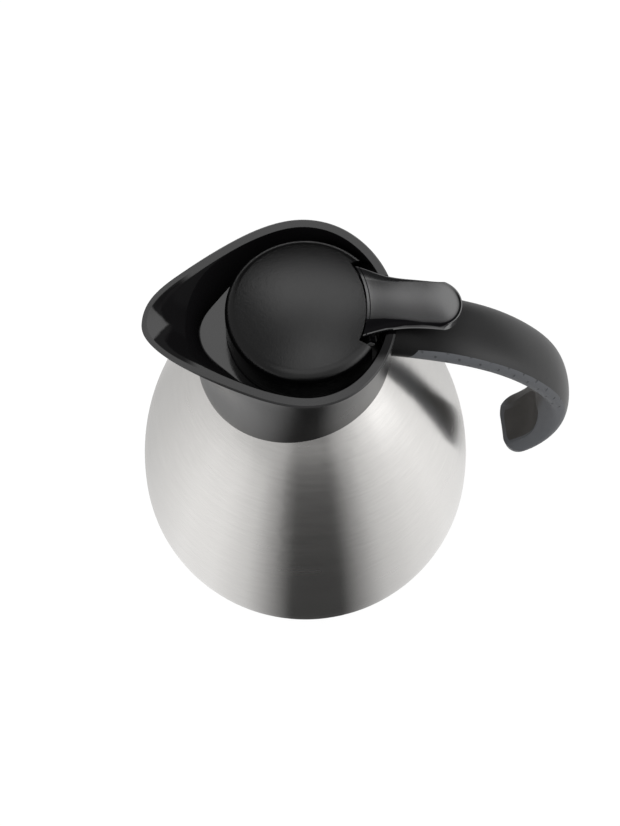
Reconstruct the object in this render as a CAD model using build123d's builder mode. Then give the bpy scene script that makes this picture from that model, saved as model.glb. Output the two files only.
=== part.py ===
from build123d import *
from math import asin, atan2, cos, degrees, pi, sin, sqrt
import os

os.makedirs("parts", exist_ok=True)

# ---------------------------------------------------------------- driving dimensions (mm)
# The carafe stands on z = 0, its axis is Z, the spout points to -X and the handle to +X.

# pear-shaped steel body
body_radius = 68.0
equator_height = 55.0
body_bottom_depth = 63.0
body_taper_length = 146.0
body_taper_power = 2.15
shell_wall = 0.8
shell_foot_height = 0.8
cone_start_height = 163.0
mouth_height = 171.0
mouth_outer_radius = 28.3
neck_bore_radius = 24.2
neck_foot_height = 160.0
vacuum_gap = 5.0
flask_floor_height = 9.0

# foot
pad_radius = 33.3
pad_height = 2.2
base_recess_radius = 20.0
base_recess_height = 6.0
evacuation_radius = 7.0

# collar, trough and spout
collar_edge_height = 157.7
collar_edge_slope = 0.16
collar_step = 0.6
collar_wall = 2.8
rim_height = 192.5
rim_chamfer = 0.7
floor_height = 179.5
floor_thickness = 4.0
stopper_hole_radius = 27.2
rear_dip_height = 188.0
rear_dip_half_width = 11.6
rear_dip_half_mouth = 12.4
mouth_gasket_height = 1.4
mouth_gasket_inset = 0.9

# lid
lid_radius = 29.7
lid_top_height = 200.2
lid_skirt_foot = 181.9
lid_wall = 2.0
lid_crown_radius = 96.0
lid_shoulder_radius = 5.3
lid_shoulder_height = 191.7
notch_corner = (18.5, 16.2)
notch_mouth = (26.0, 19.6)
notch_middle = 22.5
lever_gap = 0.5
lever_pad_x = 49.1
lever_pad_radius = 9.75
lever_crown = 0.3
lever_lip = 0.8

# hinge
pin_x = 23.5
pin_z = 187.0
pin_radius = 1.5
pin_clearance = 0.06
ear_radius = 2.8
ear_inner = 10.4
ear_outer = 13.2
ear_foot_gap = 0.6
barrel_radius = 3.4
barrel_inner = 5.6
barrel_outer = 10.1
riser_shift = 1.3
riser_width = 4.2
riser_height = 9.2
spring_radius = 2.5
spring_wire = 0.35
spring_turns = 6
spring_length = 8.4

# stopper
deck_radius = 29.4
deck_foot = 179.8
deck_top = 181.4
plug_radius = 23.6
plug_foot = 152.0
plug_wall = 1.8
plug_corner = 1.2
channel_radius = 7.0
channel_wall = 1.6
tongue_depth = 2.2
groove_foot = 156.5
groove_height = 2.5
groove_depth = 1.0
gasket_clearance = 0.25
seat_height = 183.0
plate_foot = 185.8
plate_top = 187.6

# handle
handle_core_inset = 2.6
handle_tip_corner = 8.5
handle_tip_skin = 1.6
seam_share = 0.47

# the two screws that hold the handle to the collar
screw_half_spread = 6.0
screw_height = 175.2
screw_radius = 1.5
screw_head_radius = 2.4
screw_head_height = 1.7
screw_start_x = 28.0
screw_seat_x = 30.6
screw_tip_x = 42.6
screw_spots = [(-screw_half_spread, screw_height), (screw_half_spread, screw_height)]
from_foot = (Align.CENTER, Align.CENTER, Align.MIN)


# ---------------------------------------------------------------- shared curves
def shell_radius(z):
    """Outer radius of the steel body at height z."""
    rise = z - equator_height
    if rise < 0:
        return body_radius * sqrt(1 - (rise / body_bottom_depth) ** 2)
    taper = (min(z, cone_start_height) - equator_height) / body_taper_length
    radius = body_radius * (1 - taper**body_taper_power)
    if z > cone_start_height:
        share = (z - cone_start_height) / (mouth_height - cone_start_height)
        radius += (mouth_outer_radius - radius) * share
    return radius


def mirrored(half_outline):
    """Close a half outline that starts and ends on the X axis."""
    return half_outline + [(x, -y) for x, y in half_outline[-2:0:-1]]


def shrink(half_outline, amount):
    """Move every point of a half outline towards the collar's middle."""
    moved = []
    for x, y in half_outline:
        reach = sqrt(x * x + y * y)
        moved.append((x - amount * x / reach, y - amount * y / reach))
    return moved


# The rim's half outline, from the spout's tip round to the rear.
rim_half = [
    (-61.2, 0),
    (-57.3, 10.2),
    (-45.4, 20.3),
    (-28.5, 30.2),
    (-12.0, 37.5),
    (1.5, 39.5),
    (14.5, 35.9),
    (25.4, 26.4),
    (32.2, 13.5),
    (34.4, 0),
]
# The same stations on the trough's floor and on the inner edge of the rim.
trough_top_half = [
    (-60.4, 0),
    (-56.0, 8.6),
    (-43.4, 17.1),
    (-26.8, 26.9),
    (-10.9, 33.9),
    (1.3, 35.8),
    (12.9, 32.6),
    (22.7, 24.1),
    (29.0, 12.6),
    (31.2, 0),
]
trough_floor_half = [
    (-39.3, 0),
    (-37.3, 7.6),
    (-32.2, 13.8),
    (-23.5, 23.0),
    (-10.3, 31.6),
    (1.4, 33.4),
    (12.4, 30.9),
    (22.6, 23.6),
    (29.4, 12.2),
    (31.4, 0),
]
# How much of the wall rolls over into a lip, at the stations from the tip on, and the steps of the roll.
lip_shares = (1.0, 0.9, 0.55, 0.2)
trough_steps = 9
stations = [atan2(y, x) for x, y in rim_half]
# Levels of the collar's loft: height share, and how far each station has moved out to the rim there.
# The spout's stations stay back until the last level, so its underside runs along the ramp.
collar_levels = (
    (0.0, [0.0] * 10),
    (0.35, [0.02, 0.02, 0.0, 0.06, 0.22] + [0.35] * 5),
    (0.62, [0.08, 0.06, 0.04, 0.18, 0.48] + [0.62] * 5),
    (1.0, [1.0] * 10),
)


def collar_edge_half(outset):
    """Half outline of the sloping cut where the collar ends on the body."""
    outline = []
    for angle in stations:
        radius = 36.0
        for _ in range(12):
            height = collar_edge_height + collar_edge_slope * radius * cos(angle)
            radius = shell_radius(height) + outset
        outline.append((radius * cos(angle), radius * sin(angle)))
    return outline


def blend(low_half, high_half, shares):
    """Half outline between two others, with each station's own share of the way."""
    return [
        (lx + (hx - lx) * share, ly + (hy - ly) * share)
        for (lx, ly), (hx, hy), share in zip(low_half, high_half, shares)
    ]


def sloped_plane(height, slope):
    """A plane that rises towards +X, and its stretch along X."""
    stretch = sqrt(1 + slope * slope)
    return Plane(origin=(0, 0, height), x_dir=(1, 0, slope), z_dir=(-slope, 0, 1)), stretch


# ---------------------------------------------------------------- steel flask
def body_profile_points(inset):
    """Points of the body's side above the equator, moved inwards."""
    heights = [equator_height, 80.0, 105.0, 128.0, 147.0, cone_start_height]
    return [(shell_radius(z) - inset, z) for z in heights]


foot_rise = equator_height - shell_foot_height
foot_angle = degrees(asin(foot_rise / body_bottom_depth))


def body_solid(inset):
    """Solid of revolution inside the steel body's outer skin."""
    with BuildPart() as body:
        with BuildSketch(Plane.XZ):
            with BuildLine():
                low = EllipticalCenterArc(
                    (0, equator_height),
                    body_radius - inset,
                    body_bottom_depth,
                    -foot_angle,
                    arc_size=foot_angle,
                )
                side = Spline(*body_profile_points(inset), tangents=[(0, 1), (-0.62, 1)])
                neck = Line(side @ 1, (mouth_outer_radius - inset, mouth_height))
                Polyline(neck @ 1, (0, mouth_height), (0, shell_foot_height), low @ 0)
            make_face()
        revolve(axis=Axis.Z)
    return body.part


shell_solid = body_solid(0)
with BuildPart() as outer_shell:
    add(shell_solid)
    add(body_solid(shell_wall), mode=Mode.SUBTRACT)
outer_shell.part.label = "outer_shell"


flask_radius = neck_bore_radius + shell_wall
with BuildPart() as inner_flask:
    with BuildSketch(Plane.XZ):
        with BuildLine():
            bottom = Line((0, flask_floor_height), (30, flask_floor_height))
            belly = Spline(
                bottom @ 1,
                *[(shell_radius(z) - vacuum_gap, z) for z in (26.0, equator_height, 90.0, 122.0, 142.0)],
                (flask_radius, neck_foot_height),
                tangents=[(1, 0), (0, 1)],
            )
            bore = Line(belly @ 1, (flask_radius, mouth_height + shell_wall))
            Polyline(bore @ 1, (0, mouth_height + shell_wall), (0, flask_floor_height))
        make_face()
    revolve(axis=Axis.Z)
    mouth_face = inner_flask.faces().sort_by(Axis.Z)[-1]
    offset(amount=-shell_wall, openings=mouth_face)
    # rolled lip that closes the vacuum space against the outer shell
    with BuildSketch(Plane.XY.offset(mouth_height)):
        Circle(mouth_outer_radius)
        Circle(neck_bore_radius + shell_wall / 2, mode=Mode.SUBTRACT)
    extrude(amount=shell_wall)
inner_flask.part.label = "inner_flask"

# ---------------------------------------------------------------- foot
base_flange_radius = shell_radius(pad_height) - shell_wall - 0.1
with BuildPart() as base_cup:
    with BuildSketch(Plane.XZ):
        with BuildLine():
            Polyline(
                (0, base_recess_height),
                (base_recess_radius, base_recess_height),
                (base_recess_radius + 4, pad_height),
                (base_flange_radius, pad_height),
                (base_flange_radius + 0.5, pad_height + 0.8),
                (base_recess_radius + 4.4, pad_height + 0.8),
                (base_recess_radius + 0.4, base_recess_height + 0.8),
                (0, base_recess_height + 0.8),
                close=True,
            )
        make_face()
    revolve(axis=Axis.Z)
base_cup.part.label = "base_cup"

with BuildPart() as evacuation_cap:
    with BuildSketch(Plane.XY.offset(base_recess_height - 1.0)):
        Circle(evacuation_radius)
    extrude(amount=1.0)
    fillet(evacuation_cap.edges().group_by(Axis.Z)[0], 0.6)
evacuation_cap.part.label = "evacuation_cap"

with BuildPart() as base_pad:
    with BuildSketch():
        Circle(pad_radius)
    extrude(amount=pad_height)
    fillet(base_pad.edges().group_by(Axis.Z)[0], 0.8)
base_pad.part.label = "base_pad"


# ---------------------------------------------------------------- collar
def collar_body(inset, top_height):
    """Solid between the sloping edge on the body and the rim's outline."""
    low_half = collar_edge_half(collar_step - inset)
    high_half = shrink(rim_half, inset)
    with BuildPart() as body:
        for rise, shares in collar_levels:
            height = collar_edge_height + (rim_height - collar_edge_height) * rise
            plane, stretch = sloped_plane(height, collar_edge_slope * (1 - rise))
            half = blend(low_half, high_half, shares)
            with BuildSketch(plane):
                with BuildLine():
                    Spline(*[(x * stretch, y) for x, y in mirrored(half)], periodic=True)
                make_face()
        loft()
        if top_height < rim_height:
            split(bisect_by=Plane.XY.offset(top_height), keep=Keep.BOTTOM)
    return body.part


def trough_half(turn):
    """Half outline of the hollow at an angle of the lip's roll, from 0 at the floor to a right angle."""
    shares = []
    for index in range(len(stations)):
        roll = lip_shares[index] if index < len(lip_shares) else 0
        shares.append((1 - roll) * sin(turn) + roll * (1 - cos(turn)))
    return blend(trough_floor_half, trough_top_half, shares)


def trough_body():
    """The hollow above the trough's floor, with the ramp that rolls over at the spout's tip."""
    with BuildPart() as hollow:
        for step in range(trough_steps + 1):
            turn = step / trough_steps * pi / 2
            with BuildSketch(Plane.XY.offset(floor_height + (rim_height - floor_height) * sin(turn))):
                with BuildLine():
                    Spline(*mirrored(trough_half(turn)), periodic=True)
                make_face()
        loft()
        with BuildSketch(Plane.XY.offset(rim_height)):
            with BuildLine():
                Spline(*mirrored(trough_top_half), periodic=True)
            make_face()
        extrude(amount=2)
    return hollow.part


collar_solid = collar_body(0, rim_height)

with BuildPart() as collar:
    add(collar_solid)
    chamfer(collar.edges().group_by(Axis.Z)[-1], rim_chamfer)
    add(trough_body(), mode=Mode.SUBTRACT)
    # hollow under the floor, open towards the flask's neck
    add(collar_body(collar_wall, floor_height - floor_thickness), mode=Mode.SUBTRACT)
    add(shell_solid, mode=Mode.SUBTRACT)
    with BuildSketch(Plane.XY.offset(floor_height - floor_thickness - 1)):
        Circle(stopper_hole_radius)
    extrude(amount=floor_thickness + 2, mode=Mode.SUBTRACT)
    # dip at the rear that the lever swings down into
    with BuildSketch(Plane.YZ.offset(22)):
        with BuildLine():
            Polyline(
                (-rear_dip_half_width, rear_dip_height),
                (rear_dip_half_width, rear_dip_height),
                (rear_dip_half_mouth, rim_height + 0.2),
                (rear_dip_half_mouth, rim_height + 3),
                (-rear_dip_half_mouth, rim_height + 3),
                (-rear_dip_half_mouth, rim_height + 0.2),
                close=True,
            )
        make_face()
    extrude(amount=20, mode=Mode.SUBTRACT)
    # passages for the two handle screws
    with Locations(*[Pos(screw_start_x, y, z) * Rot(0, 90, 0) for y, z in screw_spots]):
        Cylinder(screw_radius + 0.1, 16, align=from_foot, mode=Mode.SUBTRACT)
        Cylinder(screw_head_radius + 0.2, screw_seat_x - screw_start_x, align=from_foot, mode=Mode.SUBTRACT)
collar.part.label = "collar"

# ---------------------------------------------------------------- clamped joint at the mouth
with BuildPart() as mouth_gasket:
    with BuildSketch(Plane.XY.offset(mouth_height + shell_wall)):
        Circle(mouth_outer_radius)
        Circle(neck_bore_radius + mouth_gasket_inset, mode=Mode.SUBTRACT)
    extrude(amount=mouth_gasket_height)
mouth_gasket.part.label = "mouth_gasket"

ring_foot = mouth_height + shell_wall + mouth_gasket_height
with BuildPart() as neck_ring:
    with BuildSketch(Plane.XY.offset(ring_foot)):
        Circle(mouth_outer_radius)
        Circle(neck_bore_radius + mouth_gasket_inset, mode=Mode.SUBTRACT)
    extrude(amount=floor_height - floor_thickness - ring_foot)
    chamfer(neck_ring.edges().group_by(Axis.Z)[0], 0.4)
neck_ring.part.label = "neck_ring"

# ---------------------------------------------------------------- handle
# The handle's middle line in the XZ plane, from inside the collar to the hook's open end.
handle_points = [
    (30, 178.6),
    (52.6, 168.8),
    (77, 151.9),
    (94.6, 130),
    (102.1, 108),
    (98.0, 87.4),
    (82.9, 73.1),
]
# Share of the middle line's length, half width and half thickness.
handle_sections = [
    (0.0, 13.8, 7.3),
    (0.125, 13.8, 7.1),
    (0.25, 13.8, 6.9),
    (0.375, 13.8, 6.6),
    (0.5, 13.7, 6.2),
    (0.625, 13.6, 5.8),
    (0.75, 13.5, 5.3),
    (0.875, 13.4, 4.7),
    (1.0, 13.2, 2.8),
]
# The finger recess in the hook: share, half width, half depth and reach of its middle.
scoop_sections = [
    (0.81, 5.0, 1.2, -5.1),
    (0.85, 8.6, 2.8, -5.0),
    (0.89, 9.6, 3.6, -4.7),
    (0.93, 9.6, 3.6, -4.2),
    (0.965, 9.5, 3.4, -3.5),
    (1.0, 9.4, 3.0, -2.6),
]

handle_path = Plane.XZ * Spline(*handle_points, tangents=[(1, -0.38), (-1, -0.3)])


def handle_plane(share, reach=0.0):
    """Plane across the handle, moved outwards by a reach: its Y points to the outer side."""
    plane = Plane(origin=handle_path @ share, x_dir=(0, 1, 0), z_dir=handle_path % share)
    return Plane(origin=plane.origin + plane.y_dir * reach, x_dir=(0, 1, 0), z_dir=plane.z_dir)


def oval_rod(sections):
    """Loft of ovals along the handle: share, half width, half thickness and reach of each."""
    with BuildPart() as rod:
        for share, half_width, half_depth, reach in sections:
            with BuildSketch(handle_plane(share, reach)):
                Ellipse(half_width, half_depth)
        loft()
    return rod.part


def outward(share, reach):
    """Point in the XZ plane at a distance from the middle line, outwards."""
    spot = handle_plane(share, reach).origin
    return (spot.X, spot.Z)


def outer_side():
    """Everything outside the seam between the hard shell and the soft grip."""
    seam = [outward(share, depth * seam_share) for share, _, depth in handle_sections[1:]]
    seam.insert(0, outward(0.075, handle_sections[0][2] * seam_share))
    with BuildPart() as region:
        with BuildSketch(Plane.XZ):
            with BuildLine():
                line = Spline(*seam)
                past = Line(line @ 1, line @ 1 + (line % 1) * 12)
                Polyline(past @ 1, (60, 50), (130, 50), (130, 210), (10, 210), (10, 155), seam[0])
            make_face()
        extrude(amount=20, both=True)
    return region.part


def tip_corners(inset):
    """What the rounded outline of the hook's end leaves away, moved inwards."""
    tip = handle_plane(1.0)
    flat = Plane(origin=tip.origin, x_dir=tip.z_dir, z_dir=tip.y_dir)
    width = 2 * (handle_sections[-1][1] - inset)
    with BuildPart() as corners:
        with BuildSketch(flat):
            Rectangle(28, 40)
            with Locations((-30 - inset, 0)):
                RectangleRounded(60, width, handle_tip_corner, mode=Mode.SUBTRACT)
        extrude(amount=12, both=True)
    return corners.part


handle_rod = oval_rod([(*section, 0) for section in handle_sections])
core_rod = oval_rod(
    [
        (share, width - handle_core_inset, depth - 0.6 * handle_core_inset, 0)
        for share, width, depth in handle_sections
    ]
)
with BuildPart() as core_blank:
    add(core_rod)
    add(tip_corners(handle_tip_skin), mode=Mode.SUBTRACT)
scoop_rod = oval_rod(scoop_sections)
shell_region = outer_side()
corner_region = tip_corners(0)

with BuildPart() as handle_shell:
    add(handle_rod)
    add(core_blank.part, mode=Mode.SUBTRACT)
    add(shell_region, mode=Mode.INTERSECT)
    add(corner_region, mode=Mode.SUBTRACT)
    add(collar_solid, mode=Mode.SUBTRACT)
handle_shell.part.label = "handle_shell"

with BuildPart() as handle_grip:
    add(handle_rod)
    add(core_blank.part, mode=Mode.SUBTRACT)
    add(shell_region, mode=Mode.SUBTRACT)
    add(corner_region, mode=Mode.SUBTRACT)
    add(collar_solid, mode=Mode.SUBTRACT)
    add(scoop_rod, mode=Mode.SUBTRACT)
handle_grip.part.label = "handle_grip"

with BuildPart() as handle_core:
    add(core_blank.part)
    add(collar_solid, mode=Mode.SUBTRACT)
    with Locations(*[Pos(screw_start_x, y, z) * Rot(0, 90, 0) for y, z in screw_spots]):
        Cylinder(screw_radius, screw_tip_x - screw_start_x, align=from_foot, mode=Mode.SUBTRACT)
    add(scoop_rod, mode=Mode.SUBTRACT)
handle_core.part.label = "handle_core"

with BuildPart() as handle_screws:
    with Locations(*[Pos(screw_seat_x, y, z) * Rot(0, 90, 0) for y, z in screw_spots]):
        Cylinder(screw_radius, screw_tip_x - screw_seat_x, align=from_foot)
    with Locations(*[Pos(screw_seat_x, y, z) * Rot(0, -90, 0) for y, z in screw_spots]):
        Cylinder(screw_head_radius, screw_head_height, align=from_foot)
handle_screws.part.label = "handle_screws"

# ---------------------------------------------------------------- stopper
plug_top = deck_foot - tongue_depth
with BuildPart() as stopper_deck:
    with BuildSketch(Plane.XZ):
        with BuildLine():
            Polyline(
                (channel_radius, plug_top),
                (channel_radius + channel_wall, plug_top),
                (channel_radius + channel_wall, deck_foot),
                (plug_radius - plug_wall, deck_foot),
                (plug_radius - plug_wall, plug_top),
                (stopper_hole_radius - 0.5, plug_top),
                (stopper_hole_radius - 0.5, deck_foot),
                (deck_radius, deck_foot),
                (deck_radius, deck_top),
                (channel_radius + 3.0, deck_top),
                (channel_radius + 1.2, seat_height),
                (channel_radius, seat_height),
                close=True,
            )
        make_face()
    revolve(axis=Axis.Z)
    # two ears that hold the hinge pin
    for side in (-1, 1):
        with BuildSketch(Plane.XZ.offset(-side * (ear_inner + ear_outer) / 2)):
            with Locations((pin_x, pin_z)):
                Circle(ear_radius)
            with Locations((pin_x, (pin_z + deck_foot + ear_foot_gap) / 2)):
                Rectangle(2 * ear_radius, pin_z - deck_foot - ear_foot_gap)
        extrude(amount=(ear_outer - ear_inner) / 2, both=True)
    with Locations(Pos(pin_x, 0, pin_z) * Rot(90, 0, 0)):
        Cylinder(pin_radius, 40, mode=Mode.SUBTRACT)
stopper_deck.part.label = "stopper_deck"

with BuildPart() as stopper_cup:
    with BuildSketch(Plane.XZ):
        with BuildLine():
            Polyline(
                (channel_radius, plug_foot),
                (plug_radius - plug_corner, plug_foot),
                (plug_radius, plug_foot + plug_corner),
                (plug_radius, groove_foot),
                (plug_radius - groove_depth, groove_foot),
                (plug_radius - groove_depth, groove_foot + groove_height),
                (plug_radius, groove_foot + groove_height),
                (plug_radius, plug_top),
                (plug_radius - plug_wall, plug_top),
                (plug_radius - plug_wall, plug_foot + plug_wall),
                (channel_radius + channel_wall, plug_foot + plug_wall),
                (channel_radius + channel_wall, plug_top),
                (channel_radius, plug_top),
                close=True,
            )
        make_face()
    revolve(axis=Axis.Z)
stopper_cup.part.label = "stopper_cup"

with BuildPart() as stopper_foam:
    with BuildSketch(Plane.XY.offset(plug_foot + plug_wall)):
        Circle(plug_radius - plug_wall)
        Circle(channel_radius + channel_wall, mode=Mode.SUBTRACT)
    extrude(amount=deck_foot - plug_foot - plug_wall)
stopper_foam.part.label = "stopper_foam"

with BuildPart() as stopper_gasket:
    with BuildSketch(Plane.XY.offset(groove_foot)):
        Circle(neck_bore_radius - gasket_clearance)
        Circle(plug_radius - groove_depth, mode=Mode.SUBTRACT)
    extrude(amount=groove_height)
    fillet(stopper_gasket.edges().filter_by(GeomType.CIRCLE).sort_by(SortBy.RADIUS)[-2:], 0.3)
stopper_gasket.part.label = "stopper_gasket"

with BuildPart() as hinge_pin:
    with Locations(Pos(pin_x, 0, pin_z) * Rot(90, 0, 0)):
        Cylinder(pin_radius, 2 * ear_outer)
hinge_pin.part.label = "hinge_pin"

with BuildPart() as torsion_spring:
    with BuildLine() as coil:
        Helix(
            spring_length / spring_turns,
            spring_length,
            spring_radius,
            center=(pin_x, -spring_length / 2, pin_z),
            direction=(0, 1, 0),
        )
    with BuildSketch(Plane(origin=coil.line @ 0, z_dir=coil.line % 0)):
        RegularPolygon(spring_wire, 8)
    sweep(path=coil.line)
torsion_spring.part.label = "torsion_spring"

# ---------------------------------------------------------------- lid
shoulder_centre = (lid_radius - lid_shoulder_radius, lid_shoulder_height)


def dome_profile(inset):
    """Half section of the lid: crown, rounded shoulder and straight skirt."""
    crown_radius = lid_crown_radius - inset
    shoulder = lid_shoulder_radius - inset
    crown_centre_z = lid_top_height - lid_crown_radius
    tilt = asin(shoulder_centre[0] / (lid_crown_radius - lid_shoulder_radius))
    join = (
        shoulder_centre[0] + shoulder * sin(tilt),
        shoulder_centre[1] + shoulder * cos(tilt),
    )
    middle = (crown_radius * sin(tilt / 2), crown_centre_z + crown_radius * cos(tilt / 2))
    top = (0, lid_top_height - inset)
    bend = (
        shoulder_centre[0] + shoulder * sin(tilt + (pi / 2 - tilt) / 2),
        shoulder_centre[1] + shoulder * cos(tilt + (pi / 2 - tilt) / 2),
    )
    side = (lid_radius - inset, lid_shoulder_height)
    foot = (lid_radius - inset, lid_skirt_foot)
    return top, middle, join, bend, side, foot


def dome_solid(inset):
    """Solid under one skin of the lid."""
    top, middle, join, bend, side, foot = dome_profile(inset)
    with BuildPart() as body:
        with BuildSketch(Plane.XZ):
            with BuildLine():
                ThreePointArc(top, middle, join)
                ThreePointArc(join, bend, side)
                Polyline(side, foot, (0, foot[1]), top)
            make_face()
        revolve(axis=Axis.Z)
    return body.part


with BuildPart() as lid_dome:
    add(dome_solid(0))
    add(dome_solid(lid_wall), mode=Mode.SUBTRACT)
    # notch for the lever
    with BuildSketch(Plane.XY.offset(lid_skirt_foot - 1)):
        with BuildLine():
            ThreePointArc((notch_corner[0], -notch_corner[1]), (notch_middle, 0), notch_corner)
            Polyline(
                notch_corner,
                notch_mouth,
                (notch_mouth[0] + 10, notch_mouth[1]),
                (notch_mouth[0] + 10, -notch_mouth[1]),
                (notch_mouth[0], -notch_mouth[1]),
                (notch_corner[0], -notch_corner[1]),
            )
        make_face()
    extrude(amount=25, mode=Mode.SUBTRACT)
lid_dome.part.label = "lid_dome"

lever_front = (19.6 + lever_gap, 14.6)
lever_front_middle = notch_middle + lever_gap
# Cross sections from the dome to the thumb pad: x, half width, foot, top and half width of the flat.
lever_sections = [
    (17.0, 15.7, 197.0, 199.5, 8.4),
    (23.0, 13.7, 195.8, 198.6, 8.2),
    (29.0, 11.7, 194.0, 196.9, 7.7),
    (36.0, 10.3, 192.0, 194.9, 7.8),
    (43.0, 9.8, 190.0, 193.0, 8.5),
    (49.5, 9.5, 187.3, 191.3, 8.5),
    (56.0, 9.8, 185.7, 190.1, 8.6),
    (62.0, 9.9, 185.2, 189.5, 8.6),
]
with BuildPart() as lid_lever:
    for x, half_width, foot, top, flat in lever_sections:
        level = top - lever_crown
        knee = foot + lever_lip
        roll = half_width - flat
        drop = level - knee
        with BuildSketch(Plane.YZ.offset(x)):
            with BuildLine():
                Polyline((-half_width, knee), (-half_width, foot), (half_width, foot), (half_width, knee))
                EllipticalCenterArc((flat, knee), roll, drop, 0, arc_size=90)
                ThreePointArc((flat, level), (0, top), (-flat, level))
                EllipticalCenterArc((-flat, knee), roll, drop, 90, arc_size=90)
            make_face()
    loft()
    # front arc along the dome, and the round end of the pad
    with BuildSketch(Plane.XY.offset(180)):
        with BuildLine():
            ThreePointArc((lever_front[0], -lever_front[1]), (lever_front_middle, 0), lever_front)
            Polyline(lever_front, (lever_front[0], 20), (lever_pad_x, 20), (lever_pad_x, lever_pad_radius))
            ThreePointArc(
                (lever_pad_x, lever_pad_radius),
                (lever_pad_x + lever_pad_radius, 0),
                (lever_pad_x, -lever_pad_radius),
            )
            Polyline(
                (lever_pad_x, -lever_pad_radius),
                (lever_pad_x, -20),
                (lever_front[0], -20),
                (lever_front[0], -lever_front[1]),
            )
        make_face()
    extrude(amount=25, mode=Mode.INTERSECT)
lid_lever.part.label = "lid_lever"

with BuildPart() as lid_plate:
    with BuildSketch(Plane.XY.offset(plate_foot)):
        Circle(lid_radius - lid_wall - 0.1)
        with Locations((pin_x + 8, 0)):
            Rectangle(26, 32, mode=Mode.SUBTRACT)
    extrude(amount=plate_top - plate_foot)
    for side in (-1, 1):
        with BuildSketch(Plane.XZ.offset(-side * (barrel_inner + barrel_outer) / 2)):
            with Locations((pin_x, pin_z)):
                Circle(barrel_radius)
            with Locations((pin_x - 5, (plate_foot + plate_top) / 2)):
                Rectangle(10, plate_top - plate_foot)
            with Locations((pin_x + riser_shift, pin_z + riser_height / 2)):
                Rectangle(riser_width, riser_height)
        extrude(amount=(barrel_outer - barrel_inner) / 2, both=True)
    add(lid_lever.part, mode=Mode.SUBTRACT)
    with Locations(Pos(pin_x, 0, pin_z) * Rot(90, 0, 0)):
        Cylinder(pin_radius + pin_clearance, 40, mode=Mode.SUBTRACT)
lid_plate.part.label = "lid_plate"

with BuildPart() as lid_seal:
    with BuildSketch(Plane.XY.offset(seat_height)):
        Circle(channel_radius + 4)
    extrude(amount=plate_foot - seat_height)
    fillet(lid_seal.edges().group_by(Axis.Z)[0], 0.8)
lid_seal.part.label = "lid_seal"

pieces = (
    outer_shell,
    inner_flask,
    base_cup,
    evacuation_cap,
    base_pad,
    collar,
    mouth_gasket,
    neck_ring,
    handle_shell,
    handle_grip,
    handle_core,
    handle_screws,
    stopper_deck,
    stopper_cup,
    stopper_foam,
    stopper_gasket,
    hinge_pin,
    torsion_spring,
    lid_dome,
    lid_lever,
    lid_plate,
    lid_seal,
)
for piece in pieces:
    export_step(piece.part, f"parts/{piece.part.label}.step")
    print(piece.part.label, round(piece.part.volume), len(piece.part.solids()), piece.part.is_valid)
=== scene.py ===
import math

import bpy
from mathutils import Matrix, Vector

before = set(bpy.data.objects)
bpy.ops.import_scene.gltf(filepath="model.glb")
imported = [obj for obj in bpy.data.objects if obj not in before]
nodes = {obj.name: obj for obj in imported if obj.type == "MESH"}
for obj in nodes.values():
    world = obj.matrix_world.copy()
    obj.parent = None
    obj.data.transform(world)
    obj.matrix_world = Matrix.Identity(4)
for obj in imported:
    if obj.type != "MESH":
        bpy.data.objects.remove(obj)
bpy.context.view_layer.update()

white = (1.0, 1.0, 1.0, 1.0)
inDegrees = 180 / math.pi


# A socket that can be added, multiplied and so on, to write node trees as sums
class Val:
    def __init__(self, owner, socket):
        self.owner = owner
        self.socket = socket

    def calc(self, operation, first, second=0.0):
        return self.owner.node("Math", {"operation": operation}, {0: first, 1: second})

    def __add__(self, other):
        return self.calc("ADD", self, other)

    def __radd__(self, other):
        return self.calc("ADD", other, self)

    def __sub__(self, other):
        return self.calc("SUBTRACT", self, other)

    def __rsub__(self, other):
        return self.calc("SUBTRACT", other, self)

    def __mul__(self, other):
        return self.calc("MULTIPLY", self, other)

    def __rmul__(self, other):
        return self.calc("MULTIPLY", other, self)

    def __truediv__(self, other):
        return self.calc("DIVIDE", self, other)

    def __rtruediv__(self, other):
        return self.calc("DIVIDE", other, self)

    def __neg__(self):
        return self.calc("MULTIPLY", self, -1.0)

    def __pow__(self, other):
        return self.calc("POWER", self, other)

    def low(self, other):
        return self.calc("MINIMUM", self, other)

    def high(self, other):
        return self.calc("MAXIMUM", self, other)

    def size(self):
        return self.calc("ABSOLUTE", self)

    def step(self, start, end):
        return self.owner.node(
            "MapRange",
            {"interpolation_type": "SMOOTHSTEP"},
            {"Value": self, "From Min": start, "From Max": end, "To Min": 0.0, "To Max": 1.0},
        )


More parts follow.
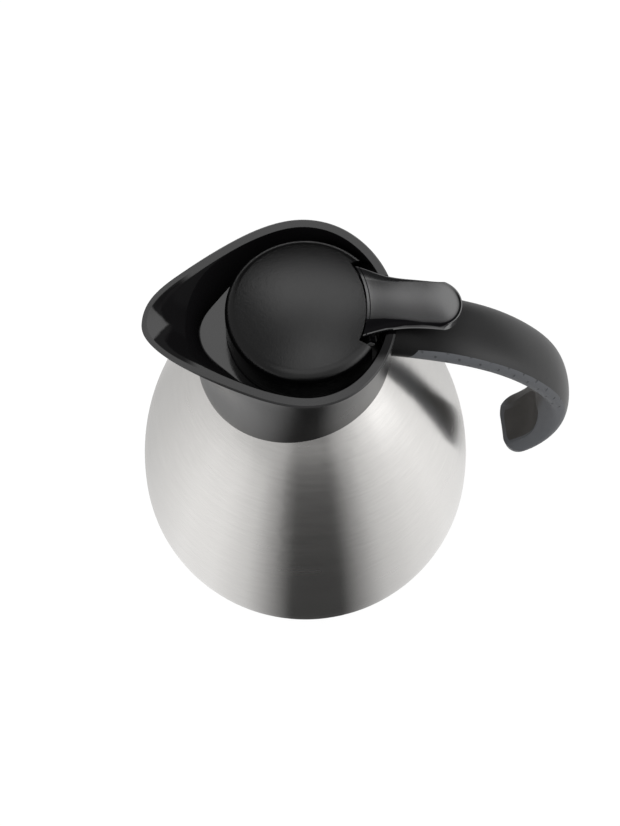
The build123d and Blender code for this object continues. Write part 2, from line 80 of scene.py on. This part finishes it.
class Tree:
    def __init__(self, holder):
        holder.use_nodes = True
        self.tree = holder.node_tree
        self.tree.nodes.clear()

    # any node: its settings, then its input values or links, and which output is wanted
    def node(self, kind, settings=None, values=None, out=0):
        made = self.tree.nodes.new("ShaderNode" + kind)
        for name, setting in (settings or {}).items():
            if name == "stops":
                self.fillRamp(made.color_ramp.elements, setting)
            else:
                setattr(made, name, setting)
        for name, value in (values or {}).items():
            if isinstance(value, Val):
                self.tree.links.new(value.socket, made.inputs[name])
            else:
                made.inputs[name].default_value = value
        return Val(self, made.outputs[out]) if made.outputs else None

    def fillRamp(self, elements, stops):
        while len(elements) < len(stops):
            elements.new(0.5)
        for element, (place, level) in zip(elements, stops):
            element.position = place
            element.color = (level, level, level, 1.0)

    # grey levels over a place from 0 to 1
    def ramp(self, where, stops):
        return self.node("ValToRGB", {"stops": stops}, {0: where})

    def xyz(self, where):
        parts = self.node("SeparateXYZ", {}, {0: where}).socket.node
        return [Val(self, parts.outputs[index]) for index in range(3)]

    # the piece's own coordinates, whole and by axis
    def place(self):
        spot = self.node("TexCoord", out=3)
        return [spot] + self.xyz(spot)

    # the way the surface faces, by axis
    def face(self):
        return self.xyz(self.node("NewGeometry", out=1))

    def rays(self):
        light = self.node("LightPath").socket.node
        return Val(self, light.outputs["Is Camera Ray"]), Val(self, light.outputs["Is Glossy Ray"])

    def vector(self, x, y, z):
        return self.node("CombineXYZ", {}, {0: x, 1: y, 2: z})

    def noise(self, where, scale, detail=2.0, rough=0.5):
        values = {"Vector": where, "Scale": scale, "Detail": detail, "Roughness": rough}
        return self.node("TexNoise", {}, values)

    def mixColour(self, share, first, second, blend="MIX"):
        settings = {"data_type": "RGBA", "blend_type": blend}
        return self.node("Mix", settings, {0: share, 6: first, 7: second}, out=2)

    def tinted(self, shade, tone):
        return self.mixColour(1.0, shade, self.vector(tone, tone, tone), "MULTIPLY")

    def bump(self, height, strength, distance):
        return self.node("Bump", {}, {"Height": height, "Strength": strength, "Distance": distance})

    def principled(self, values):
        return self.node("BsdfPrincipled", {}, values)

    def mixShader(self, share, first, second):
        return self.node("MixShader", {}, {0: share, 1: first, 2: second})

    def finish(self, shader, output="OutputMaterial"):
        self.node(output, {}, {0: shader})


def newFinish(name):
    material = bpy.data.materials.new(name)
    return material, Tree(material)


def colour(rgb):
    return (rgb[0], rgb[1], rgb[2], 1.0)


# Steel brushed round the body; scales are in noise cells per metre, depths in metres
brushedLook = {
    "colour": (0.80, 0.785, 0.765),
    "roughness": 0.26,
    "roughnessSwing": 0.06,
    "anisotropic": 0.75,
    "turn": 0.25,
    "grooves": (90.0, 1050.0),     # round the body and up it
    "streaks": (40.0, 500.0),
    "cloudScale": 18.0,
    "tone": 0.92,
    "grooveTone": 0.12,
    "streakTone": 0.02,
    "cloudTone": 0.02,
    "grooveStrength": 0.18,
    "grooveDepth": 0.000010,
}


def brushedSteel(look):
    material, tree = newFinish("brushedSteel")
    spot, x, y, z = tree.place()

    def brushed(scales, detail, rough=0.5):
        along, up = scales
        return tree.noise(tree.vector(x * along, y * along, z * up), 1.0, detail, rough)

    grooves = brushed(look["grooves"], 3.0, 0.6)
    streaks = brushed(look["streaks"], 2.0)
    cloud = tree.noise(spot, look["cloudScale"])
    tone = look["tone"] + grooves * look["grooveTone"] + streaks * look["streakTone"]
    tone = tone + cloud * look["cloudTone"]
    shader = tree.principled({
        "Base Color": tree.tinted(colour(look["colour"]), tone),
        "Metallic": 1.0,
        "Roughness": look["roughness"] + (streaks - 0.5) * look["roughnessSwing"],
        "Anisotropic": look["anisotropic"],
        "Anisotropic Rotation": look["turn"],
        "Normal": tree.bump(grooves, look["grooveStrength"], look["grooveDepth"]),
    })
    tree.finish(shader)
    return material


drawnLook = {
    "colour": (0.62, 0.62, 0.61),
    "roughness": 0.28,
    "roughnessSwing": 0.1,
    "rings": (20.0, 900.0),
    "ringStrength": 0.2,
    "ringDepth": 0.00001,
    "cloudScale": 40.0,
    "tone": 0.9,
    "cloudTone": 0.15,
}


def drawnSteel(look):
    material, tree = newFinish("drawnSteel")
    spot, x, y, z = tree.place()
    along, up = look["rings"]
    rings = tree.noise(tree.vector(x * along, y * along, z * up), 1.0)
    cloud = tree.noise(spot, look["cloudScale"], 3.0)
    shader = tree.principled({
        "Base Color": tree.tinted(colour(look["colour"]), look["tone"] + cloud * look["cloudTone"]),
        "Metallic": 1.0,
        "Roughness": look["roughness"] + cloud * look["roughnessSwing"],
        "Normal": tree.bump(rings, look["ringStrength"], look["ringDepth"]),
    })
    tree.finish(shader)
    return material


# The collar is satin outside and on its rim, and glossy in the trough; lengths are in metres.
# Painted shade: the trough takes a darkened copy of the finish, and the lip's wedge and the floor a
# bright one.
collarLook = {
    "colour": (0.0048, 0.0046, 0.0050),
    "outside": {"roughness": 0.28, "ior": 1.62},
    "rim": {"roughness": 0.24, "ior": 1.53},
    "trough": {"roughness": 0.06, "ior": 1.13},
    "lipSheenAndFloor": {"roughness": 0.12, "ior": 1.56},
    "roughnessSwing": 0.04,
    "grainScale": 2600.0,
    "waveScale": 35.0,
    "rippleScale": 260.0,
    "speckScale": 900.0,
    "tone": 0.9,
    "speckTone": 0.2,
    "satin": {"wave": 0.3, "strength": 0.25, "depth": 0.00002},
    "gloss": {"ripple": 0.1, "strength": 0.5, "depth": 0.0006},
    "outsideFace": (0.0, 0.004),
    "levelFace": (0.955, 0.985),
    "rimFoot": (0.1865, 0.1885),
    "floorTop": (0.1797, 0.1805),
    "tipRim": (0.0606, 40.0, 0.0018),    # the tip's reach, its outline's bend and the rim's width
    "tipEnds": (0.040, 0.046),
    "lipWedge": (0.0500, 1.10),          # where the lip's wedge begins, and how fast it widens
    "lipWaver": 0.003,
    "lipEdge": (-0.0004, 0.0014),
    "lipFace": (0.55, 0.85),
    "leverShade": {                      # painted shade: the rim beside the lever takes the trough's darkened finish
        "fromFront": (0.010, 0.020),
        "fromSide": (-0.0245, -0.0195),
        "toMiddle": (0.0, 0.004),
        "share": 0.97,
    },
}


def collarPlastic(look):
    material, tree = newFinish("collarPlastic")
    spot, x, y, z = tree.place()
    faceX, faceY, faceZ = tree.face()
    grain = tree.noise(spot, look["grainScale"])
    wave = tree.noise(spot, look["waveScale"], 1.0)
    ripple = tree.noise(spot, look["rippleScale"])
    specks = tree.noise(spot, look["speckScale"], 1.0)
    shade = tree.tinted(colour(look["colour"]), look["tone"] + specks * look["speckTone"])

    def part(name, skin):
        return tree.principled({
            "Base Color": shade,
            "Roughness": look[name]["roughness"] + (wave - 0.5) * look["roughnessSwing"],
            "IOR": look[name]["ior"],
            "Normal": skin,
        })

    outside = (faceX * x + faceY * y).step(*look["outsideFace"])
    # the rim keeps one width round the spout's tip, where the outline is close to a parabola
    tip, bend, width = look["tipRim"]
    fromEdge = (x + tip - y * y * bend) / (1.0 + y * y * (4.0 * bend * bend)) ** 0.5
    top = faceZ.step(*look["levelFace"]) * z.step(*look["rimFoot"])
    top = top * (1.0 - fromEdge.step(width, width * 1.25) * (-x).step(*look["tipEnds"]))
    # painted reflection: the wedge on the spout's lip and the trough's floor take the bright copy of the
    # finish, so this mask draws the lip's bright wedge
    start, spread = look["lipWedge"]
    wedge = (-x - start) * spread + (ripple - 0.5) * look["lipWaver"] - y.size()
    lipSheenAndFloor = wedge.step(*look["lipEdge"]) * faceZ.step(*look["lipFace"])
    lipSheenAndFloor = lipSheenAndFloor.high(1.0 - z.step(*look["floorTop"]))
    # painted shade of the lever on the rim
    beside = look["leverShade"]
    shaded = x.step(*beside["fromFront"]) * y.step(*beside["fromSide"])
    shaded = shaded * (1.0 - y.step(*beside["toMiddle"])) * beside["share"]

    satin, gloss = look["satin"], look["gloss"]
    satin = tree.bump(grain + wave * satin["wave"], satin["strength"], satin["depth"])
    gloss = tree.bump(wave + ripple * gloss["ripple"], gloss["strength"], gloss["depth"])
    # painted shade in the trough, with the bright copy on the lip's wedge and the floor
    inner = tree.mixShader(lipSheenAndFloor, part("trough", gloss), part("lipSheenAndFloor", gloss))
    rim = tree.mixShader(shaded, part("rim", satin), part("trough", satin))
    upper = tree.mixShader(top, inner, rim)
    tree.finish(tree.mixShader(outside * (1.0 - top), upper, part("outside", satin)))
    return material


# Moulded plastics, and whatever else has an even grain: its cells per metre and its depth in metres
mouldedLooks = {
    "domePlastic": {"colour": (0.0012, 0.0012, 0.0013), "roughness": 0.19, "grain": (1900.0, 0.00013)},
    "deckPlastic": {
        "colour": (0.0050, 0.0050, 0.0053), "roughness": 0.12, "grain": (2600.0, 0.00001), "ior": 1.60,
    },
    "handlePlastic": {"colour": (0.013, 0.013, 0.0133), "roughness": 0.36, "grain": (2400.0, 0.00004)},
    "scoopPlastic": {"colour": (0.040, 0.0375, 0.035), "roughness": 0.50, "grain": (2400.0, 0.00004)},
    "plainPlastic": {"colour": (0.007, 0.007, 0.007), "roughness": 0.34, "grain": (2000.0, 0.00003)},
    "padRubber": {"colour": (0.030, 0.030, 0.030), "roughness": 0.75, "grain": (1200.0, 0.00008)},
    "sealSilicone": {"colour": (0.22, 0.22, 0.23), "roughness": 0.40, "grain": (1500.0, 0.00002)},
    "plugFoam": {"colour": (0.80, 0.76, 0.62), "roughness": 0.85, "grain": (700.0, 0.00020)},
    "capPlastic": {"colour": (0.10, 0.10, 0.10), "roughness": 0.45, "grain": (2000.0, 0.00003)},
    "wireSteel": {"colour": (0.55, 0.55, 0.55), "roughness": 0.25, "grain": (1500.0, 0.00001)},
}
mouldedSkin = {
    "ior": 1.5,
    "cloudScale": 60.0,
    "tone": 0.9,
    "cloudTone": 0.2,
    "cloudRoughness": 0.08,
    "grainRoughness": 0.06,
    "grainStrength": 0.5,
}
# Painted shade: the handle is drawn darker under the lever with a darkened copy of its finish, from and
# to over x in metres
handleShadeLooks = {
    "handlePlastic": {"span": (0.046, 0.066), "share": 0.8, "tint": (0.3, 0.3, 0.3), "ior": 1.14},
}


def mouldedPlastic(name, look, skin, paintedShade=None):
    material, tree = newFinish(name)
    spot, x = tree.place()[:2]
    grainScale, grainDepth = look["grain"]
    grain = tree.noise(spot, grainScale, 2.0, 0.6)
    cloud = tree.noise(spot, skin["cloudScale"])
    swing = (cloud - 0.5) * skin["cloudRoughness"] + (grain - 0.5) * skin["grainRoughness"]
    values = {
        "Base Color": tree.tinted(colour(look["colour"]), skin["tone"] + cloud * skin["cloudTone"]),
        "Roughness": look["roughness"] + swing,
        "IOR": look.get("ior", skin["ior"]),
        "Normal": tree.bump(grain, skin["grainStrength"], grainDepth),
    }
    shader = tree.principled(values)
    # painted shade: a darkened copy of the finish is mixed in towards the lever
    if paintedShade:
        dim = tree.mixColour(1.0, values["Base Color"], colour(paintedShade["tint"]), "MULTIPLY")
        shadedFinish = tree.principled(dict(values, **{"Base Color": dim, "IOR": paintedShade["ior"]}))
        amount = (1.0 - x.step(*paintedShade["span"])) * paintedShade["share"]
        shader = tree.mixShader(amount, shader, shadedFinish)
    tree.finish(shader)
    return material


# Dimples in staggered rows along the handle. The rows follow the bend: their distance from the bend's
# centre is given over the angle from the level, in degrees and metres.
gripLook = {
    "colour": (0.085, 0.089, 0.097),
    "roughness": 0.55,
    "roughnessSwing": 0.1,
    "grainScale": 3000.0,
    "grainStrength": 0.35,
    "grainDepth": 0.00002,
    "cloudScale": 80.0,
    "tone": 0.92,
    "cloudTone": 0.16,
    "bendCentre": (0.045, 0.105),
    "rowRadius": [
        (0, 0.0560), (18, 0.0553), (27, 0.0551), (36, 0.0557), (45, 0.0565), (54, 0.0577),
        (62, 0.0592), (71, 0.0615), (79, 0.0642), (87, 0.0675), (96, 0.0715),
    ],
    "sideWidth": 0.0136,
    "sideStart": (0.0008, 0.0026),
    "firstAngle": 18.0,
    "anglePitch": 8.68,
    "dimplePitch": 0.0086,
    "rowPitch": 0.0019,
    "dimpleRadius": 0.0007,
    "dimpleDepth": 0.0004,
    "dimplePaintedShade": 0.45,
    "angles": (12.0, 92.0),
    "hollowColour": (0.040, 0.0375, 0.035),
    "hollowFace": (0.25, 0.65),
    "hollowTop": (0.108, 0.122),
    "hollowSide": (-0.006, 0.001),
}


def dimples(look, tree, x, y, z):
    out = x - look["bendCentre"][0]
    up = z - look["bendCentre"][1]
    angle = up.calc("ARCTAN2", up, out) * inDegrees
    radius = (out * out + up * up) ** 0.5
    # a ramp holds places and levels from 0 to 1, so degrees and metres are scaled to it and back
    stops = [(degrees / 100.0, reach * 10.0) for degrees, reach in look["rowRadius"]]
    depth = tree.ramp(angle / 100.0, stops) / 10.0 - radius
    around = depth + (look["sideWidth"] - y.size()) * depth.step(*look["sideStart"])
    row = around / look["rowPitch"] + 0.5
    row = row.calc("FLOOR", row)
    stagger = row.calc("PINGPONG", row, 1.0) * 0.5
    along = (angle - look["firstAngle"]) / look["anglePitch"] + stagger + 0.5
    along = (along.calc("FRACT", along) - 0.5) * look["dimplePitch"]
    across = around - row * look["rowPitch"]
    away = (along * along + across * across) ** 0.5
    low, high = look["angles"]
    inside = angle.step(low - 1, low + 1) * (1.0 - angle.step(high - 1, high + 1))
    return (1.0 - away.step(look["dimpleRadius"] * 0.35, look["dimpleRadius"])) * inside


def gripRubber(look):
    material, tree = newFinish("gripRubber")
    spot, x, y, z = tree.place()
    faceX = tree.face()[0]
    grain = tree.noise(spot, look["grainScale"])
    cloud = tree.noise(spot, look["cloudScale"])
    pits = dimples(look, tree, x, y, z)
    # painted shade: the dimples are coloured darker, as if shaded inside
    tone = (look["tone"] + cloud * look["cloudTone"]) * (1.0 - pits * look["dimplePaintedShade"])
    hollow = (-faceX).step(*look["hollowFace"]) * (1.0 - z.step(*look["hollowTop"]))
    hollow = hollow * y.step(*look["hollowSide"])
    skinColour = tree.mixColour(hollow, colour(look["colour"]), colour(look["hollowColour"]))
    grained = tree.bump(grain, look["grainStrength"], look["grainDepth"])
    pitted = tree.node("Bump", {}, {
        "Height": 1.0 - pits,
        "Strength": 1.0,
        "Distance": look["dimpleDepth"],
        "Normal": grained,
    })
    shader = tree.principled({
        "Base Color": tree.tinted(skinColour, tone),
        "Roughness": look["roughness"] + (cloud - 0.5) * look["roughnessSwing"],
        "Normal": pitted,
    })
    tree.finish(shader)
    return material


# Painted shade: the lever's flat ends in a dark band drawn in the material for its shaded step, and a
# narrow ledge at its foot keeps the plain finish. Half widths of the flat and of the whole lever are
# given over x in millimetres; the other lengths are in metres.
leverLook = {
    "colour": (0.0095, 0.0095, 0.0103),
    "roughness": 0.17,
    "roughnessSwing": 0.06,
    "ior": 2.0,
    "shadeBandColour": (0.0032, 0.0030, 0.0036),
    "shadeBandIor": 1.12,
    "grainScale": 2600.0,
    "grainStrength": 0.4,
    "grainDepth": 0.00002,
    "cloudScale": 60.0,
    "tone": 0.9,
    "cloudTone": 0.2,
    "length": 60.0,
    "padCentre": 0.0491,
    "flatHalf": [(17, 0.0084), (23, 0.0082), (29, 0.0077), (36, 0.0078), (43, 0.0085), (60, 0.0085)],
    "wholeHalf": [(17, 0.0157), (23, 0.0137), (29, 0.0117), (36, 0.0103), (43, 0.0098), (60, 0.0097)],
    "shadeBandEdge": (-0.0004, 0.0003),
    "ledge": 0.00032,
    "fade": (0.0062, 0.0018),      # the painted darkening's reach towards the painted band, by the dome and at the pad
    "fadeEnds": (0.024, 0.037),
    "fadeShare": 0.55,
    "farShare": 0.3,               # the painted band's strength on the far side
    "farFace": (0.2, 0.9),
    "topFace": (0.02, 0.12),
    "frontFace": (0.35, 0.6),
    "frontArc": (0.0230, 13.6),    # the front arc's middle, and its bend
    "frontLine": 0.0011,
    "lineEdge": (0.0001, 0.00028),
}


def leverPlastic(look):
    material, tree = newFinish("leverPlastic")
    spot, x, y = tree.place()[:3]
    faceX, faceZ = tree.face()[::2]
    grain = tree.noise(spot, look["grainScale"])
    cloud = tree.noise(spot, look["cloudScale"])
    past = (x - look["padCentre"]).high(0.0)
    reach = (past * past + y * y) ** 0.5

    def alongLever(halves):
        stops = [(place / look["length"], half * 50.0) for place, half in halves]
        return tree.ramp(x * (1000.0 / look["length"]), stops) / 50.0

    beyond = reach - alongLever(look["flatHalf"])
    inward = alongLever(look["wholeHalf"]) - reach
    ledge = 1.0 - inward.step(look["ledge"] * 0.8, look["ledge"] * 1.25)
    outward = tree.node("VectorMath", {"operation": "NORMALIZE"}, {0: tree.vector(past, y, 0.0)})
    near = 1.0 - tree.xyz(outward)[1].step(*look["farFace"])
    onTop = faceZ.step(*look["topFace"]) * (1.0 - (-faceX).step(*look["frontFace"]))

    # painted shade: the flat darkens towards the band, and the band is dark except on the ledge, weaker
    # on the far side
    wide, narrow = look["fade"]
    width = wide + (narrow - wide) * x.step(*look["fadeEnds"])
    fading = ((beyond + width) / width).high(0.0).low(1.0)
    fading = fading * fading * fading * look["fadeShare"]
    step = fading.high(beyond.step(*look["shadeBandEdge"])) * (1.0 - ledge)
    step = step * (look["farShare"] + near * (1.0 - look["farShare"]))
    middle, bend = look["frontArc"]
    fromLine = x - (middle - y * y * bend) - look["frontLine"]
    line = 1.0 - fromLine.size().step(*look["lineEdge"])

    skin = tree.bump(grain, look["grainStrength"], look["grainDepth"])
    shade = tree.tinted(colour(look["colour"]), look["tone"] + cloud * look["cloudTone"])

    def plastic(base, ior):
        return tree.principled({
            "Base Color": base,
            "Roughness": look["roughness"] + (cloud - 0.5) * look["roughnessSwing"],
            "IOR": ior,
            "Normal": skin,
        })

    # painted shade: the band and the darkening before it take a darkened copy of the finish; the thin
    # line behind the front arc is drawn with it too
    flat = plastic(shade, look["ior"])
    shadeBandFinish = plastic(colour(look["shadeBandColour"]), look["shadeBandIor"])
    tree.finish(tree.mixShader(onTop * step.high(line), flat, shadeBandFinish))
    return material


print("making finishes")
finishes = {
    "brushedSteel": brushedSteel(brushedLook),
    "drawnSteel": drawnSteel(drawnLook),
    "collarPlastic": collarPlastic(collarLook),
    "gripRubber": gripRubber(gripLook),
    "leverPlastic": leverPlastic(leverLook),
}
for name, look in mouldedLooks.items():
    finishes[name] = mouldedPlastic(name, look, mouldedSkin, handleShadeLooks.get(name))

nodeFinish = {
    "outer_shell": "brushedSteel",
    "inner_flask": "drawnSteel",
    "base_cup": "drawnSteel",
    "evacuation_cap": "capPlastic",
    "base_pad": "padRubber",
    "collar": "collarPlastic",
    "mouth_gasket": "sealSilicone",
    "neck_ring": "plainPlastic",
    "handle_shell": "handlePlastic",
    "handle_grip": "gripRubber",
    "handle_core": "scoopPlastic",
    "handle_screws": "wireSteel",
    "stopper_deck": "deckPlastic",
    "stopper_cup": "plainPlastic",
    "stopper_foam": "plugFoam",
    "stopper_gasket": "sealSilicone",
    "hinge_pin": "wireSteel",
    "torsion_spring": "wireSteel",
    "lid_dome": "domePlastic",
    "lid_lever": "leverPlastic",
    "lid_plate": "plainPlastic",
    "lid_seal": "sealSilicone",
}
for name, finish in nodeFinish.items():
    mesh = nodes[name].data
    mesh.materials.clear()
    mesh.materials.append(finishes[finish])


print("softening edges")
# radius in metres, and the least angle in degrees of an edge that gets one
softEdges = {"lid_lever": {"radius": 0.00035, "segments": 3, "angle": 38}}


def softenEdges(name, radius, segments, angle):
    bevel = nodes[name].modifiers.new("edgeRadius", "BEVEL")
    bevel.width = radius
    bevel.segments = segments
    bevel.limit_method = "ANGLE"
    bevel.angle_limit = math.radians(angle)
    bevel.harden_normals = True


for name, edge in softEdges.items():
    softenEdges(name, **edge)


# The room: its light, its level in reflections, the paper floor and how much of a shadow it keeps
studio = {
    "roomLevel": 0.55,
    "mirrorLevel": 0.37,
    "floorSize": 6.0,
    "floorDrop": 0.0002,
    "paper": (0.9, 0.9, 0.9),
    "floorGlow": 1.06,
    "shadowShare": 0.12,
}
# Soft panels that only reflections show, in degrees: azimuth 0 is the front and 90 the handle's side
panels = {
    "rightWall": {"azimuth": 62, "halfWidth": 28, "low": -12, "high": 66, "soft": 12, "level": 0.98},
    "rightWindow": {"azimuth": 66, "halfWidth": 12, "low": -6, "high": 17, "soft": 7, "level": 1.75},
    "frontWall": {"azimuth": 4, "halfWidth": 34, "low": 2, "high": 56, "soft": 10, "level": 0.60},
    "frontScreen": {"azimuth": 8, "halfWidth": 52, "low": 40, "high": 82, "soft": 10, "level": 1.12},
    "backShade": {"azimuth": 176, "halfWidth": 42, "low": -15, "high": 41, "soft": 4, "level": 0.06},
    "backPanel": {"azimuth": 168, "halfWidth": 37, "low": 42, "high": 69, "soft": 3.5, "level": 1.75},
    "backGap": {"azimuth": 172, "halfWidth": 46, "low": 69, "high": 84, "soft": 3.5, "level": 0.70},
    "rightScreen": {"azimuth": 100, "halfWidth": 32, "low": 68, "high": 84, "soft": 5, "level": 1.25},
    "ceiling": {"azimuth": 0, "halfWidth": 190, "low": 81, "high": 99, "soft": 3.5, "level": 1.32},
    "ceilingRight": {"azimuth": 115, "halfWidth": 55, "low": 77, "high": 99, "soft": 4, "level": 1.80},
    "cameraShade": {"azimuth": 0, "halfWidth": 17, "low": -20, "high": 7, "soft": 6, "level": 0.08},
}
# The paper's level in reflections, over the angle from the front both ways to the back
paperSwing = [
    (-180, 0.80), (-150, 0.72), (-128, 0.60), (-108, 0.68), (-88, 0.82), (-68, 0.98), (-50, 0.95),
    (-33, 0.70), (-21, 0.30), (-12, 0.04), (12, 0.04), (21, 0.28), (33, 0.62), (50, 0.84), (70, 0.98),
    (90, 0.94), (112, 0.80), (132, 0.68), (152, 0.72), (180, 0.80),
]


def buildWorld():
    world = bpy.data.worlds.new("studioRoom")
    bpy.context.scene.world = world
    tree = Tree(world)
    x, y, z = tree.xyz(tree.node("TexCoord", out=0))
    isCamera, isGlossy = tree.rays()
    turn = x.calc("ARCTAN2", x, -y) * inDegrees
    rise = z.calc("ARCSINE", z) * inDegrees
    level = studio["mirrorLevel"]
    for panel in panels.values():
        soft = panel["soft"]
        away = tree.node("Math", {"operation": "WRAP"}, {0: turn - panel["azimuth"], 1: 180.0, 2: -180.0})
        share = 1.0 - away.size().step(panel["halfWidth"] - soft, panel["halfWidth"] + soft)
        share = share * rise.step(panel["low"] - soft, panel["low"] + soft)
        share = share * (1.0 - rise.step(panel["high"] - soft, panel["high"] + soft))
        level = level + share * (panel["level"] - level)
    plain = (studio["roomLevel"],) * 3 + (1.0,)
    seen = tree.mixColour(isGlossy, plain, tree.vector(level, level, level))
    seen = tree.mixColour(isCamera, seen, white)
    tree.finish(tree.node("Background", {}, {"Color": seen, "Strength": 1.0}), "OutputWorld")


def buildFloor():
    half = studio["floorSize"] / 2
    corners = [(-half, -half, 0), (half, -half, 0), (half, half, 0), (-half, half, 0)]
    mesh = bpy.data.meshes.new("studioFloor")
    mesh.from_pydata(corners, [], [(0, 1, 2, 3)])
    floor = bpy.data.objects.new("studioFloor", mesh)
    bpy.context.scene.collection.objects.link(floor)
    floor.location = (0, 0, -studio["floorDrop"])
    material, tree = newFinish("studioPaper")
    x, y = tree.place()[1:3]
    isCamera, isGlossy = tree.rays()
    paper = tree.node("BsdfDiffuse", {}, {"Color": colour(studio["paper"])})
    glow = tree.node("Emission", {}, {"Color": white, "Strength": studio["floorGlow"]})
    turn = x.calc("ARCTAN2", x, -y) / (2 * math.pi) + 0.5
    around = tree.ramp(turn, [(0.5 + degrees / 360.0, level) for degrees, level in paperSwing])
    mirror = tree.node("Emission", {}, {"Color": around, "Strength": 1.0})
    seen = tree.mixShader(1.0 - studio["shadowShare"], paper, glow)
    tree.finish(tree.mixShader(isCamera, tree.mixShader(isGlossy, paper, mirror), seen))
    mesh.materials.append(material)


# Two soft lamps, hidden from reflections; metres and watts
lamps = {
    "keyPanel": {"place": (-1.2, -0.9, 1.8), "target": (0, 0, 0.1), "size": 1.2, "power": 22.0},
    "fillPanel": {"place": (1.4, 0.5, 1.6), "target": (0, 0, 0.1), "size": 1.2, "power": 14.0},
}


def addLamp(name, place, target, size, power):
    data = bpy.data.lights.new(name, "AREA")
    data.shape = "RECTANGLE"
    data.size = size
    data.size_y = size
    data.energy = power
    lamp = bpy.data.objects.new(name, data)
    bpy.context.scene.collection.objects.link(lamp)
    lamp.location = place
    lamp.rotation_euler = (Vector(target) - Vector(place)).to_track_quat("-Z", "Y").to_euler()
    lamp.visible_glossy = False


print("setting the studio")
buildWorld()
buildFloor()
for name, lamp in lamps.items():
    addLamp(name, **lamp)


view = {
    "place": (-0.0323, -0.3788, 0.9185),
    "tilt": 25.0,
    "turn": -5.17,
    "lens": 128.37,
    "sensor": 36.0,
    "clipStart": 0.01,
}


def addCamera():
    data = bpy.data.cameras.new("studioCamera")
    data.sensor_fit = "HORIZONTAL"
    data.sensor_width = view["sensor"]
    data.lens = view["lens"]
    data.clip_start = view["clipStart"]
    camera = bpy.data.objects.new("studioCamera", data)
    bpy.context.scene.collection.objects.link(camera)
    camera.location = view["place"]
    camera.rotation_euler = (math.radians(view["tilt"]), 0.0, math.radians(view["turn"]))
    bpy.context.scene.camera = camera


print("placing the camera")
addCamera()
bpy.context.scene.view_settings.view_transform = "Standard"
